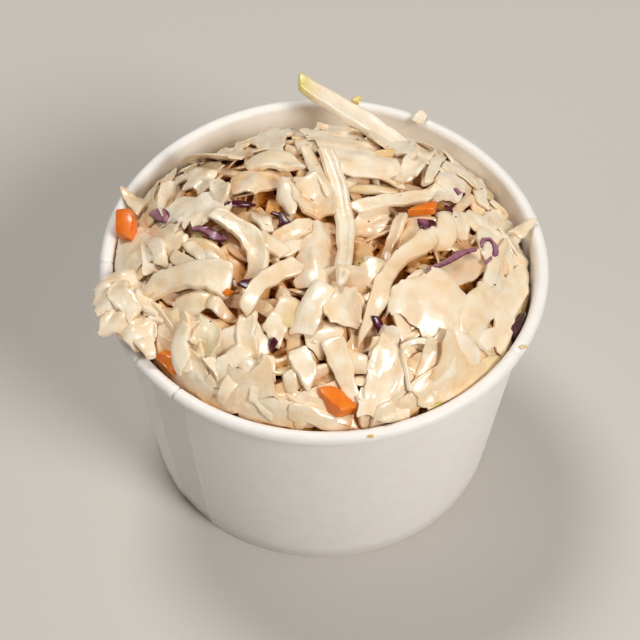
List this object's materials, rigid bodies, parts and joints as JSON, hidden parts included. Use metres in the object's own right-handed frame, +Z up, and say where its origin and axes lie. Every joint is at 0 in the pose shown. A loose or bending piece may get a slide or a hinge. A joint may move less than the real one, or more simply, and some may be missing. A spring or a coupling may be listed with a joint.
{
  "type": "coleslaw in a paper cup",
  "caption": "Squat round paper portion cup with a rolled rim and a recessed foot, heaped above the rim with dressed cabbage and carrot slaw.",
  "frame": {"origin": "on the cup's axis, on the surface that the cup stands on", "axes": "+Z up along the cup's axis; -Y is the front, and the slaw overhangs the rim towards -X"},
  "size_m": [0.0966, 0.096, 0.0751],
  "materials": {
    "paperboard": "smooth bleached board with a thin water-resistant coating, satin",
    "dressed_slaw": "cut cabbage coated in creamy dressing, moist and slightly translucent",
    "cabbage_rib": "crisp pale cabbage rib, moist and slightly translucent",
    "carrot": "cut raw carrot, moist"
  },
  "bodies": {
    "root": {"cup_wall": "paperboard", "cup_base": "paperboard", "slaw_heap": "dressed_slaw", "rib_strip": "cabbage_rib", "carrot_left": "carrot", "carrot_front": "carrot", "carrot_side": "carrot", "carrot_back": "carrot"}
  },
  "joints": []
}
